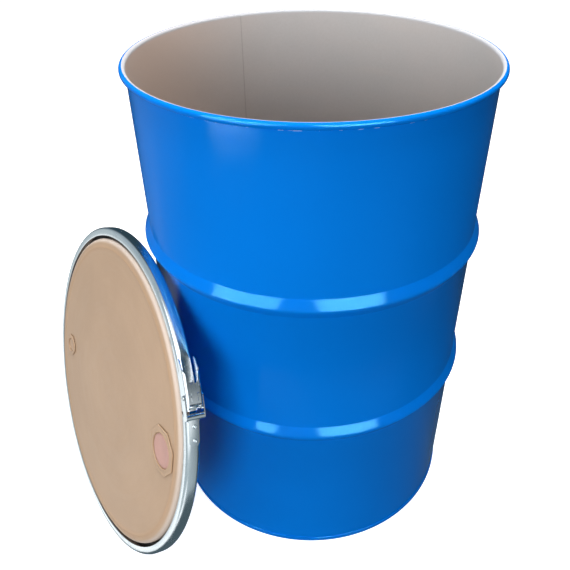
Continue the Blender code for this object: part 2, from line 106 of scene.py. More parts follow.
# Closing ring and latch
RING_RADIUS = 305.6
RING_SHEET = 1.5
RING_HALF_WIDTH = 11.6
RING_LIP_RADIUS = 291.0
RING_CORNER = 6.6
RING_END_A = -7.4
RING_END_B = -8.0
RING_NOTCH = 15.0  # how far the web of end B is cut back from its lips
NOTCH_REACH = 40.0  # length of the ring over which that cut fades
PRESS_ARC = (16.0, 84.0)  # the web pressed in under the lever, along the ring
PRESS_ENDS = (9.0, 14.0)  # lengths of its slopes
PRESS_HALF_WIDTH = 7.4
PRESS_DEPTH = 1.1
SLOT_ARC = (98.0, 112.0)  # slot through the near flange
SLOT_RADII = (293.4, 294.6)
FLANGE_HEIGHTS = (-20.0, -5.0)
FINE_LENGTH = 110.0  # length of the ring that is divided finely
FINE_STATIONS = 60
RING_STATIONS = 160
PIN_RADIUS = 2.3
PIN_CLEARANCE = 0.35
LEVER_PIVOT = (0.0, RING_RADIUS + 6.5)
LINK_PIVOT = (15.0, RING_RADIUS + 4.3)
CATCH_ARC = -15.0
CATCH_RISE = 5.4
STRAP_INSIDE = 14.4
STRAP_OUTSIDE = 15.9
EAR_MIDDLE = 8.9
EAR_SHEET = 1.6
CHEEK_MIDDLE = 13.15
LEVER_RISE = 11.25  # middle of the lever's plate above the ring
LEVER_SHEET = 1.5
LEVER_BEND = 2.4
LEVER_PLATE_ARC = (4.5, 34.0)
PRONG_ARC = 74.0
CATCH_PLATE_END = -63.7
CATCH_SHEET = 1.8
CATCH_RIVET_ARCS = (-31.5, -54.0)
PIVOT_RIVET_ARC = 6.5
PIVOT_RIVET_SIDE = 4.6
RIVET_RADIUS = 2.5
RIVET_HEAD = 0.45
RIVET_DEPTH = 3.2
PLATE_GAP = 0.4
LATCH_EDGE = 0.25  # bevel of the latch's pressed parts
LATCH_SHARP = 50.0  # angle above which their edges stay sharp, degrees

# Colours, as linear red, green and blue
ENAMEL_DEEP = (0.0004, 0.150, 0.58)
ENAMEL_LIGHT = (0.0006, 0.165, 0.64)
ENAMEL_RUBBED = (0.10, 0.34, 0.85)
ENAMEL_SPECK = (0.55, 0.68, 0.80)
ENAMEL_GLOSS = (0.4, 0.9, 1.0)
DRUM_LACQUERS = ((0.44, 0.43, 0.425), (0.47, 0.445, 0.435))
LID_LACQUERS = ((0.42, 0.287, 0.187), (0.46, 0.315, 0.205))
PLUG_LACQUERS = ((0.48, 0.275, 0.235), (0.52, 0.30, 0.25))
LACQUER_SPECK = (0.25, 0.18, 0.13)
LACQUER_MARK = (0.62, 0.5, 0.4)
# darker tan along the lid's bead
LACQUER_BEAD_TAN = (0.44, 0.27, 0.15)
# painted highlight: the lid lining paler over its shoulder
LACQUER_SHOULDER_HIGHLIGHT = (0.68, 0.62, 0.57)
# painted warm shade down one side of the drum's lining
LACQUER_WARM_SHADE = (0.62, 0.43, 0.32)
LACQUER_BURNT = (0.2, 0.17, 0.15)
LACQUER_RIM = (0.47, 0.48, 0.51)
ZINC_DARK = (0.70, 0.75, 0.78)
ZINC_LIGHT = (0.82, 0.85, 0.87)
ZINC_CLOUD = (0.56, 0.61, 0.66)
RUBBER_BLACK = (0.012, 0.012, 0.013)
RUBBER_BLOOM = (0.05, 0.05, 0.052)

joints = {joint["name"]: joint for joint in frame["record"]["behaviour"]["joints"]}
large, small, lever_pin, hinge = [Vector(joints[name]["pos_m"]) for name in (
    "large_plug_turn", "small_plug_turn", "lever_swing", "ring_spread_a")]


# ---- Frames

def lid_matrix():
    """The lid's frame in metres: its bungs lie on its X axis, either side of its centre."""
    up = Vector(joints["large_plug_turn"]["axis"]).normalized()
    across = (large - small).normalized()
    side = up.cross(across).normalized()
    matrix = Matrix.Identity(4)
    for row in range(3):
        matrix[row] = (across[row], side[row], up[row], (large[row] + small[row]) / 2.0)
    return matrix


def latch_matrix(lid):
    """The latch's frame: origin at the lid's centre, +Y through the lever's pivot."""
    pivot = lid.inverted() @ lever_pin
    return lid @ Matrix.Rotation(atan2(pivot.y, pivot.x) - pi / 2.0, 4, "Z")


LID = lid_matrix()
LATCH = latch_matrix(LID)
DRUM = Matrix.Identity(4)
BUNG_RADIUS = (large - small).length / 2.0 / MM


# ---- Mesh tools

def linked(name, data):
    """A new object in the scene."""
    item = bpy.data.objects.new(name, data)
    bpy.context.collection.objects.link(item)
    return item


def finish_piece(name, bm, place, material, body, slot, *replaced, sharp=38.0):
    """Moves a millimetre bmesh to its place as one object, parented to its body's empty when a body
    is given.

    replaced are the CAD nodes that it stands for. Edges above the angle sharp stay sharp.
    """
    bmesh.ops.recalc_face_normals(bm, faces=bm.faces)
    bm.transform(place @ Matrix.Scale(MM, 4))
    mesh = bpy.data.meshes.new(name)
    bm.to_mesh(mesh)
    bm.free()
    mesh.shade_smooth()
    mesh.set_sharp_from_angle(angle=radians(sharp))
    mesh.materials.append(material)
    piece = linked(name, mesh)
    if body is not None:
        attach(piece, body)
    if replaced:
        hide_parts(*replaced)
    return piece


def latch_piece(name, bm, body, node, place=LATCH, sharp=LATCH_SHARP):
    """A zinc-plated piece that stands for one node of the latch."""
    return finish_piece(name, bm, place, ZINC, body, "zinc_steel", node, sharp=sharp)


def arc(centre, radius, first, last, steps):
    points = []
    for step in range(steps + 1):
        angle = radians(first + (last - first) * step / steps)
        points.append((centre[0] + radius * cos(angle), centre[1] + radius * sin(angle)))
    return points


def clear_hole(spot, radius=PIN_RADIUS):
    """A round hole for a pin or rivet, in 24 points."""
    return arc(spot, radius + PIN_CLEARANCE, 0.0, 345.0, 23)


def rounded(points, radii, steps):
    """A closed outline with its corners rounded, by one radius per corner."""
    result = []
    for index, radius in enumerate(radii):
        corner = Vector(points[index])
        before = Vector(points[index - 1]) - corner
        after = Vector(points[(index + 1) % len(points)]) - corner
        if radius <= 0.0:
            result.append(tuple(corner))
            continue
        half = before.angle(after) / 2.0
        reach = min(radius / tan(half), 0.48 * before.length, 0.48 * after.length)
        size = reach * tan(half)
        inward = (before.normalized() + after.normalized()).normalized()
        middle = corner + inward * size / sin(half)
        start = corner + before.normalized() * reach - middle
        turn = pi - 2.0 * half
        sign = 1.0 if before.cross(after) < 0.0 else -1.0
        for step in range(steps + 1):
            angle = sign * turn * step / steps
            spoke = Matrix.Rotation(angle, 2) @ start
            result.append((middle.x + spoke.x, middle.y + spoke.y))
    return result


def turned(profile, stations=DRUM_SEGMENTS, start=0.0, sweep=360.0, centre=(0.0, 0.0),
           radius_at=None, trim=None):
    """Turns a closed (radius, height) profile about Z.

    stations is their number, or a list of their shares of the sweep. radius_at changes a
    profile radius by angle. trim shifts a point's angle, so that an end can be slanted.
    """
    shares = stations
    if isinstance(stations, int):
        shares = [station / stations for station in range(stations)]
    bm = bmesh.new()
    full = sweep == 360.0
    rings = []
    poles = {}
    for share in shares:
        ring = []
        for index, (radius, height) in enumerate(profile):
            if radius == 0.0:
                if index not in poles:
                    poles[index] = bm.verts.new((*centre, height))
                ring.append(poles[index])
                continue
            angle = radians(start + sweep * share)
            if trim is not None:
                angle += trim(radius, share)
            if radius_at is not None:
                radius = radius_at(index, radius, height, angle)
            x = centre[0] + radius * cos(angle)
            y = centre[1] + radius * sin(angle)
            ring.append(bm.verts.new((x, y, height)))
        rings.append(ring)
    for ring, following in zip(rings, rings[1:] + rings[:full]):
        for index in range(len(profile)):
            after = (index + 1) % len(profile)
            corners = dict.fromkeys((ring[index], following[index], following[after], ring[after]))
            if len(corners) > 2:
                bm.faces.new(list(corners))
    if not full:
        bm.faces.new(rings[0])
        bm.faces.new(rings[-1][::-1])
    return bm


def extruded(outline, low, high):
    bm = bmesh.new()
    lower = [bm.verts.new((x, y, low)) for x, y in outline]
    upper = [bm.verts.new((x, y, high)) for x, y in outline]
    bm.faces.new(lower)
    bm.faces.new(upper[::-1])
    for index in range(len(outline)):
        after = (index + 1) % len(outline)
        bm.faces.new((lower[index], lower[after], upper[after], upper[index]))
    return bm


def inside_outline(point, outline):
    """Even-odd test of a point against a closed outline."""
    x, y = point
    found = False
    for (ax, ay), (bx, by) in zip(outline[-1:] + outline[:-1], outline):
        if (ay > y) != (by > y) and x < (bx - ax) * (y - ay) / (by - ay) + ax:
            found = not found
    return found


def resampled(outline, spacing):
    """The outline with extra points, so that no edge is longer than spacing."""
    points = []
    for index in range(len(outline)):
        first = Vector(outline[index])
        last = Vector(outline[(index + 1) % len(outline)])
        steps = max(1, ceil((last - first).length / spacing))
        points += [tuple(first.lerp(last, step / steps)) for step in range(steps)]
    return points


def pressed_sheet(outline, holes, spacing, thickness, shape):
    """Bends a flat pattern into place and gives it its thickness.

    shape maps a pattern point (w, s) to a point of the sheet's middle surface.
    """
    def in_sheet(spot):
        return inside_outline(spot, loops[0]) and not any(
            inside_outline(spot, hole) for hole in loops[1:])

    loops = [resampled(loop, spacing) for loop in [outline] + holes]
    points = []
    edges = []
    for loop in loops:
        first = len(points)
        points += [Vector(point) for point in loop]
        edges += [(first + i, first + (i + 1) % len(loop)) for i in range(len(loop))]
    rim = list(points)
    low_w, high_w = [pick(spot.x for spot in rim) for pick in (min, max)]
    low_s, high_s = [pick(spot.y for spot in rim) for pick in (min, max)]
    columns = int((high_w - low_w) / spacing)
    rows = int((high_s - low_s) / spacing)
    nearest = (0.55 * spacing) ** 2
    for column in range(1, columns + 1):
        for row in range(1, rows + 1):
            shift = 0.5 * spacing * (row % 2)
            spot = Vector((low_w + column * spacing + shift, low_s + row * spacing))
            if in_sheet(spot) and min((spot - p).length_squared for p in rim) > nearest:
                points.append(spot)
    flat, _, faces, _, _, _ = delaunay_2d_cdt(points, edges, [], 0, 1e-4)
    kept = []
    for face in faces:
        middle = sum((flat[i] for i in face), Vector((0.0, 0.0))) / len(face)
        if in_sheet(middle):
            kept.append(face)
    bm = bmesh.new()
    step = 0.01
    upper = {}
    lower = {}
    for index in {i for face in kept for i in face}:
        w, s = flat[index]
        along_w = shape(w + step, s) - shape(w - step, s)
        along_s = shape(w, s + step) - shape(w, s - step)
        normal = along_w.cross(along_s).normalized() * thickness / 2.0
        upper[index] = bm.verts.new(shape(w, s) + normal)
        lower[index] = bm.verts.new(shape(w, s) - normal)
    used = {}
    for face in kept:
        bm.faces.new([upper[i] for i in face])
        bm.faces.new([lower[i] for i in reversed(face)])
        for i, first in enumerate(face):
            second = face[(i + 1) % len(face)]
            key = frozenset((first, second))
            used[key] = None if key in used else (first, second)
    for pair in used.values():
        if pair is not None:
            first, second = pair
            bm.faces.new((upper[second], upper[first], lower[first], lower[second]))
    return bm


def bevelled(piece, width=LATCH_EDGE, limit=35.0):
    modifier = piece.modifiers.new("edge", "BEVEL")
    modifier.width = width * MM
    modifier.segments = 2
    modifier.limit_method = "ANGLE"
    modifier.angle_limit = radians(limit)


def boolean(solids, operation):
    """Joins closed bmeshes into the first one, or cuts them from it, as one bmesh."""
    holders = []
    for bm in solids:
        bmesh.ops.recalc_face_normals(bm, faces=bm.faces)
        mesh = bpy.data.meshes.new("operand")
        bm.to_mesh(mesh)
        bm.free()
        holders.append(linked("operand", mesh))
    target = holders[0]
    for other in holders[1:]:
        modifier = target.modifiers.new("boolean", "BOOLEAN")
        modifier.operation = operation
        modifier.solver = "EXACT"
        modifier.object = other
    bpy.context.view_layer.update()
    evaluated = target.evaluated_get(bpy.context.evaluated_depsgraph_get())
    result = bmesh.new()
    result.from_mesh(evaluated.to_mesh())
    evaluated.to_mesh_clear()
    for holder in holders:
        mesh = holder.data
        bpy.data.objects.remove(holder, do_unlink=True)
        bpy.data.meshes.remove(mesh)
    return result


# ---- Materials

class Nodes:
    """A new material's or world's nodes, with short calls for adding and linking them."""

    def __init__(self, name, kind="materials", shader="Principled BSDF", coords="Object"):
        self.owner = getattr(bpy.data, kind).new(name)
        self.owner.use_nodes = True
        self.tree = self.owner.node_tree
        self.shader = self.tree.nodes[shader]
        self.coords = self.add("ShaderNodeTexCoord").outputs[coords]

    def add(self, kind, inputs=None, **settings):
        node = self.tree.nodes.new(kind)
        for key, value in settings.items():
            setattr(node, key, value)
        for key, value in (inputs or {}).items():
            self.put(node.inputs[key], value)
        return node

    def put(self, socket, value):
        if isinstance(value, bpy.types.NodeSocket):
            self.tree.links.new(value, socket)
        elif socket.type == "RGBA":
            socket.default_value = (*value, 1.0)
        else:
            socket.default_value = value

    def set(self, **values):
        for key, value in values.items():
            self.put(self.shader.inputs[key.replace("_", " ")], value)

    def calc(self, operation, *values):
        return self.add("ShaderNodeMath", dict(enumerate(values)), operation=operation).outputs[0]

    def times(self, first, second):
        return self.calc("MULTIPLY", first, second)

    def noise(self, scale, detail=3.0, roughness=0.5, coords=None):
        inputs = {"Vector": coords or self.coords, "Scale": scale, "Detail": detail,
                  "Roughness": roughness}
        return self.add("ShaderNodeTexNoise", inputs).outputs["Fac"]

    def ramp(self, value, low, high, to_low=0.0, to_high=1.0):
        """Maps a value's range onto another one, smoothly and clamped."""
        inputs = {"Value": value, "From Min": low, "From Max": high, "To Min": to_low,
                  "To Max": to_high}
        return self.add("ShaderNodeMapRange", inputs, interpolation_type="SMOOTHSTEP").outputs[0]

    def mix(self, share, first, second):
        inputs = {0: share, 6: first, 7: second}
        return self.add("ShaderNodeMix", inputs, data_type="RGBA").outputs[2]

    def tint(self, colour, share, amount, over):
        """Lays one colour over another, amount being the most of it."""
        return self.mix(self.times(share, amount), colour, over)

    def bump(self, height, distance, strength=1.0, normal=None):
        inputs = {"Height": height, "Distance": distance, "Strength": strength}
        if normal is not None:
            inputs["Normal"] = normal
        return self.add("ShaderNodeBump", inputs).outputs[0]

    def split(self, coords=None):
        return self.add("ShaderNodeSeparateXYZ", {"Vector": coords or self.coords}).outputs

    def band(self, value, centre, half_width):
        """1 at the centre of a band, falling to 0 at half_width from it."""
        distance = self.calc("ABSOLUTE", self.calc("SUBTRACT", value, centre))
        return self.ramp(distance, 0.0, half_width, 1.0, 0.0)


def polar_coords(nodes, place):
    """Angle, height and radius of a point in one of the frames, in radians and metres."""
    mapping = nodes.add("ShaderNodeMapping", {"Vector": nodes.coords}, vector_type="TEXTURE")
    mapping.inputs["Location"].default_value = place.to_translation()
    mapping.inputs["Rotation"].default_value = place.to_euler()
    x, y, z = nodes.split(mapping.outputs[0])
    squares = nodes.calc("ADD", nodes.times(x, x), nodes.times(y, y))
    return nodes.calc("ARCTAN2", y, x), z, nodes.calc("SQRT", squares)


def drawn_out(nodes, polar, *scales):
    """Coordinates for marks that run round a turned piece: its polar ones, each scaled."""
    scaled = [nodes.times(part, scale) for part, scale in zip(polar, scales)]
    return nodes.add("ShaderNodeCombineXYZ", dict(enumerate(scaled))).outputs[0]


def blue_enamel():
    """Glossy baked enamel: faint orange peel, rubbed hoops, and whitish specks under the curl."""
    nodes = Nodes("blue_enamel")
    polar = polar_coords(nodes, DRUM)
    height = polar[1]
    colour = nodes.mix(nodes.ramp(nodes.noise(2.6, 2.0), 0.3, 0.7), ENAMEL_DEEP,
                       ENAMEL_LIGHT)
    lower, upper = [nodes.band(height, hoop * MM, 0.007) for hoop in HOOP_HEIGHTS]
    patchy = nodes.ramp(nodes.noise(38.0, 6.0, 0.7), 0.52, 0.72)
    rubbed = nodes.times(nodes.calc("MAXIMUM", lower, upper), patchy)
    colour = nodes.tint(colour, rubbed, 0.12, ENAMEL_RUBBED)
    dashes = nodes.noise(1.0, 3.0, 0.6, drawn_out(nodes, polar, 26.0, 300.0, 0.0))
    under_curl = nodes.band(height, (BODY_HEIGHT - 2.0 * CURL_RADIUS - 1.5) * MM, 0.0018)
    specks = nodes.times(under_curl, nodes.ramp(dashes, 0.56, 0.62))
    colour = nodes.tint(colour, specks, 0.75, ENAMEL_SPECK)
    scuffs = nodes.noise(1.0, 5.0, 0.65, drawn_out(nodes, polar, 9.0, 40.0, 1.0))
    rough = nodes.calc("ADD", nodes.ramp(scuffs, 0.35, 0.75, 0.09, 0.15),
                       nodes.times(rubbed, 0.15))
    peel = nodes.bump(nodes.noise(330.0, 2.0), 0.00003)
    waves = nodes.bump(nodes.noise(7.0, 1.0), 0.0006, 0.3, peel)
    nodes.set(Base_Color=colour, Roughness=rough, Normal=waves, IOR=1.12,
              Specular_Tint=ENAMEL_GLOSS)
    return nodes.owner


def baked_lacquer(name, colours, place, bead_tan_and_highlight=False):
    """Satin phenolic lacquer: faint roller marks round the sheet and slight mottling."""
    nodes = Nodes(name)
    polar = polar_coords(nodes, place)
    angle, height, radius = polar
    colour = nodes.mix(nodes.ramp(nodes.noise(5.0, 4.0, 0.6), 0.3, 0.7), *colours)
    fine = nodes.ramp(nodes.noise(260.0, 4.0, 0.6), 0.35, 0.7)
    colour = nodes.tint(colour, fine, 0.06, LACQUER_SPECK)
    marks = nodes.noise(1.0, 3.0, 0.5, drawn_out(nodes, polar, 1.6, 40.0, 60.0))
    colour = nodes.mix(nodes.ramp(marks, 0.5, 0.8, 0.0, 0.08), colour, LACQUER_MARK)
    if bead_tan_and_highlight:
        # Darker tan along the bead, and a painted highlight (thin): the lining paler over the
        # shoulder
        bead_tan = nodes.band(radius, LID_BEAD_RADIUS * MM, 0.009)
        colour = nodes.tint(colour, bead_tan, 0.4, LACQUER_BEAD_TAN)
        thin = nodes.ramp(radius, (LID_PANEL_RADIUS - 1.0) * MM, (LID_WALL_RADIUS - 1.5) * MM)
        colour = nodes.tint(colour, thin, 0.6, LACQUER_SHOULDER_HIGHLIGHT)
    else:
        # Painted warm shade down one side, and marked by the heat of the side seam
        colour = nodes.tint(colour, nodes.band(angle, WARM_SHADE_SIDE, 1.3), 0.65, LACQUER_WARM_SHADE)
        seam = nodes.band(angle, radians(SEAM_AZIMUTH), 0.006)
        colour = nodes.tint(colour, seam, 0.35, LACQUER_BURNT)
        rim = nodes.ramp(height, (BODY_HEIGHT - 8.0) * MM, (BODY_HEIGHT - 3.0) * MM, 0.0, 0.85)
        colour = nodes.mix(rim, colour, LACQUER_RIM)
    rough = nodes.ramp(marks, 0.3, 0.8, 0.34, 0.44)
    surface = nodes.bump(nodes.noise(300.0, 2.0), 0.00003)
    surface = nodes.bump(nodes.noise(5.0, 1.0), 0.0006, 0.25, surface)
    nodes.set(Base_Color=colour, Roughness=rough, Normal=surface, IOR=1.25)
    return nodes.owner


def galvanised_steel():
    """Zinc plate: soft clouding, fine lines drawn along the ring, and dull finger marks."""
    nodes = Nodes("galvanised_steel")
    cloud = nodes.noise(24.0, 4.0, 0.6)
    patches = nodes.ramp(nodes.noise(7.0, 3.0, 0.55), 0.35, 0.7)
    grain = nodes.noise(1.0, 4.0, 0.7,
                        drawn_out(nodes, polar_coords(nodes, LATCH), 14.0, 900.0, 900.0))
    colour = nodes.mix(patches, ZINC_DARK, ZINC_LIGHT)
    colour = nodes.mix(nodes.ramp(cloud, 0.5, 0.8, 0.0, 0.4), colour, ZINC_CLOUD)
    rough = nodes.calc("ADD", nodes.ramp(grain, 0.3, 0.75, 0.15, 0.26),
                       nodes.ramp(cloud, 0.5, 0.8, 0.0, 0.12))
    surface = nodes.bump(grain, 0.000008)
    surface = nodes.bump(cloud, 0.00015, 0.2, surface)
    nodes.set(Base_Color=colour, Metallic=1.0, Roughness=rough, Normal=surface)
    return nodes.owner


def black_rubber():
    nodes = Nodes("black_rubber")
    bloom = nodes.ramp(nodes.noise(60.0, 5.0, 0.7), 0.45, 0.8)
    colour = nodes.mix(bloom, RUBBER_BLACK, RUBBER_BLOOM)
    surface = nodes.bump(nodes.noise(700.0, 2.0), 0.00008)
    rough = nodes.ramp(bloom, 0.0, 1.0, 0.5, 0.75)
    nodes.set(Base_Color=colour, Roughness=rough, Normal=surface)
    return nodes.owner


ENAMEL = blue_enamel()
LACQUER = baked_lacquer("beige_lacquer", DRUM_LACQUERS, DRUM)
LID_LACQUER = baked_lacquer("lid_lacquer", LID_LACQUERS, LID, True)
PLUG_LACQUER = baked_lacquer("plug_lacquer", PLUG_LACQUERS, LID, True)
ZINC = galvanised_steel()
RUBBER = black_rubber()  # ---- Drum

def hoop_line(height, radius):
    """A swaged hoop: two near-conical faces between small fillets and a round crest."""
    points = []
    for step in range(HOOP_STEPS + 1):
        share = step / HOOP_STEPS
        away = abs(2.0 * share - 1.0)
        crest = sqrt(away * away + HOOP_CREST) - sqrt(HOOP_CREST)
        rise = 1.0 - crest / (sqrt(1.0 + HOOP_CREST) - sqrt(HOOP_CREST))
        if rise < FILLET_SHARE:
            foot = rise / FILLET_SHARE
            rise = FILLET_SHARE * foot * (FILLET_SLOPE + (1.0 - FILLET_SLOPE) * foot)
        points.append((radius + HOOP_RISE * rise, height + HOOP_WIDTH * (share - 0.5)))
    return points


def wall_line(radius):
    """The wall from the bottom seam over both hoops."""
    points = [(radius, BODY_END)]
    for height in HOOP_HEIGHTS:
        points += hoop_line(height, radius)
    return points


def seam_shares():
    """Even stations round the drum, and close ones across the body's side seam."""
    close = [(SEAM_AZIMUTH + shift) / 360.0 for shift in SEAM_STATIONS]
    even = [step / DRUM_SEGMENTS for step in range(DRUM_SEGMENTS)]
    even = [share for share in even if abs(share * 360.0 - SEAM_AZIMUTH) > 0.6]
    return sorted(even + close)


def seam_rise(index, radius, height, angle):
    """The welded lap stands a little proud of the sheet, inside and out."""
    away = abs(degrees(angle) - SEAM_AZIMUTH)
    if away > SEAM_REACH or height > BODY_HEIGHT - 2.0 * CURL_RADIUS:
        return radius
    return radius + (SEAM_LAP if radius > BODY_RADIUS + 0.5 * SHEET else -0.5 * SEAM_LAP)


def drum_sheet(profile):
    return turned(profile, seam_shares(), radius_at=seam_rise)


def make_body():
    """Steel body sheet, blue outside: the lining film covers its inner face."""
    steel = FILM + FILM_GAP
    wall = wall_line(BODY_RADIUS + steel)
    film_edge = wall + arc(CURL_CENTRE, CURL_RADIUS - steel, CURL_START, FILM_END, 4)
    bare = arc(CURL_CENTRE, CURL_RADIUS, FILM_EDGE, CURL_END, 24)
    outer = wall_line(BODY_RADIUS + SHEET)
    outer += arc(CURL_CENTRE, CURL_RADIUS - SHEET, CURL_START, CURL_END, 26)
    finish_piece("drum_body", drum_sheet(film_edge + bare + outer[::-1]), DRUM, ENAMEL, "drum",
                 "blue_paint", "body_shell")
    behind = wall + arc(CURL_CENTRE, CURL_RADIUS - FILM, CURL_START, FILM_END, 4)
    film = wall_line(BODY_RADIUS) + arc(CURL_CENTRE, CURL_RADIUS, CURL_START, FILM_END, 4)
    film += [(radius - 0.5 * FILM_GAP, height) for radius, height in reversed(behind)]
    finish_piece("body_lining", drum_sheet(film), DRUM, LACQUER, "drum", "beige_lacquer")


def head_line(offset):
    """Upper side of the bottom head at an offset above its steel."""
    wall = BODY_RADIUS - SEAM_GAP
    rim = HEAD_RIM_HEIGHT + SHEET + offset
    panel = HEAD_CENTRE_HEIGHT + SHEET + offset
    line = [(0.0, panel)]
    line += arc((HEAD_PANEL_RADIUS, panel + 8.0), 8.0, -90.0, -48.0, 4)
    line += arc((HEAD_PANEL_RADIUS + 14.5, rim - 8.0), 8.0, 132.0, 90.0, 4)
    return line + arc((wall - 5.0 - offset, rim - 5.0), 5.0, 90.0, 0.0, 6)


def make_bottom():
    wall_outer = BODY_RADIUS - SEAM_GAP
    wall_inner = wall_outer - SHEET
    leg_inner = BODY_RADIUS + SHEET + SEAM_GAP
    leg_outer = leg_inner + SHEET
    under = [(radius, height - SHEET) for radius, height in head_line(0.0)[:9]]
    under += arc((wall_inner - 4.0, HEAD_RIM_HEIGHT - 4.0), 4.0, 90.0, 0.0, 6)
    foot = arc((wall_inner + 2.1, 2.1), 2.1, 180.0, 270.0, 5)
    foot += arc((leg_outer - 2.1, 2.1), 2.1, 270.0, 360.0, 5)
    channel = [(leg_outer, SEAM_HEIGHT - 0.5), (leg_outer - 0.5, SEAM_HEIGHT),
               (leg_inner, SEAM_HEIGHT), (leg_inner, SHEET), (wall_outer, SHEET)]
    profile = under + foot + channel + head_line(0.0)[::-1]
    finish_piece("drum_bottom", turned(profile), DRUM, ENAMEL, "drum", "blue_paint", "bottom_head")
    film = head_line(1.5 * FILM_GAP)
    film += [(max(0.0, radius - FILM_GAP), height) for radius, height in head_line(FILM)[::-1]]
    finish_piece("bottom_lining", turned(film), DRUM, LACQUER, "drum", "beige_lacquer")


# ---- Lid

def lid_under_line(offset):
    """Underside of the lid: panel with its bead, shoulder, wall and rim channel."""
    under = LID_UNDERSIDE - offset
    wall = LID_WALL_RADIUS + offset
    top = LID_CHANNEL_TOP - SHEET - offset
    rim = LID_RIM_RADIUS - SHEET - offset
    line = [(0.0, under), (LID_BEAD_RADIUS - 14.0, under)]
    for step in range(9):
        share = step / 8.0
        depth = LID_BEAD_DEPTH * 0.5 * (1.0 - cos(TAU * share))
        line.append((LID_BEAD_RADIUS - 5.0 + 10.0 * share, under - depth))
    corner = 8.0 + offset
    line += arc((wall - corner, under + corner), corner, -90.0, 0.0, 9)
    line += arc((wall + 3.6 - offset, top - 3.6 + offset), 3.6 - offset, 180.0, 90.0, 5)
    line += arc((rim - 3.4 + offset, top - 3.4 + offset), 3.4 - offset, 90.0, 0.0, 5)
    return line + [(rim, -3.0)]


def make_lid():
    """Pressed steel lid, blue outside, whose underside and rim channel are lacquered."""
    top = LID_CHANNEL_TOP
    rim = LID_RIM_RADIUS
    inside = LID_WALL_RADIUS - SHEET
    upper = LID_UNDERSIDE + SHEET
    outside = [(0.0, upper), (LID_BEAD_RADIUS - 14.0, upper)]
    outside += arc((inside - 6.8, upper + 6.8), 6.8, -90.0, 0.0, 8)
    outside += arc((inside + 4.8, top - 4.8), 4.8, 180.0, 90.0, 6)
    outside += arc((rim - 4.6, top - 4.6), 4.6, 90.0, 0.0, 6)
    outside += [(rim, -2.8), (rim - 0.4, -3.4), (rim - SHEET - FILM, -3.4)]
    profile = outside + lid_under_line(-FILM_GAP)[::-1]
    finish_piece("lid_steel", turned(profile), LID, ENAMEL, "lid", "blue_paint", "lid_panel")
    film = lid_under_line(0.0) + lid_under_line(FILM)[::-1]
    finish_piece("lid_lining", turned(film), LID, LID_LACQUER, "lid", "beige_lacquer")


def make_gasket():
    top = LID_CHANNEL_TOP - SHEET - FILM - 0.3
    inner = LID_WALL_RADIUS + 1.6
    outer = LID_RIM_RADIUS - 2.6
    profile = rounded([(inner, top - 4.2), (outer, top - 4.2), (outer, top), (inner, top)],
                      (1.8,) * 4, 5)
    finish_piece("rim_gasket", turned(profile), LID, RUBBER, "lid", "black_rubber", "lid_gasket")


# ---- Bungs

def thread_wave(height, angle, pitch):
    """0 at a helical thread's root and 1 at its crest."""
    share = (height / pitch - angle / TAU) % 1.0
    return 1.0 - abs(2.0 * share - 1.0)


def thread_line(radius, low, high, pitch):
    steps = ceil((high - low) / pitch * 6.0)
    return [(radius, low + (high - low) * step / steps) for step in range(steps + 1)]


def octagon_share(angle):
    """How far an octagon's edge lies at an angle, as a share of its circumradius."""
    half_side = pi / 8.0
    within = fmod(angle + TAU + half_side, 2.0 * half_side) - half_side
    return cos(half_side) / cos(within)


def make_bung_flange(name, side, thread, pitch, octagon):
    """Octagonal flange crimped under the lid, its tapped neck standing through the hole."""
    low = LID_UNDERSIDE - 3.2
    base = LID_UNDERSIDE - 1.5
    neck = thread + 4.0
    neck_top = LID_UNDERSIDE + SHEET + 6.5
    bore = thread + 0.9
    bead = thread + 2.6
    face = [(bore + 0.4, low + 0.5), (bead - 1.2, low), (bead + 1.2, low), (bead + 2.2, low + 0.5),
            (octagon - 3.4, low + 0.5), (octagon - 1.8, low), (octagon - 0.6, low + 0.2),
            (octagon, low + 0.8), (octagon, base)]
    outside = [(neck, base), (neck, neck_top - 0.6), (neck - 0.6, neck_top), (bore + 0.4, neck_top)]
    threads = thread_line(bore, low + 1.0, neck_top - 0.6, pitch)
    first_thread = len(face) + len(outside)

    def radius_at(index, radius, height, angle):
        if 4 <= index <= 8:
            return radius * octagon_share(angle)
        if index >= first_thread:
            return radius - 0.5 * thread_wave(height, angle, pitch)
        return radius

    profile = face + outside + threads[::-1]
    bm = turned(profile, 96, 1.875, centre=(side * BUNG_RADIUS, 0.0), radius_at=radius_at)
    finish_piece(name + "_flange_pressing", bm, LID, LID_LACQUER, "lid", "beige_lacquer",
                 name + "_bung_flange")


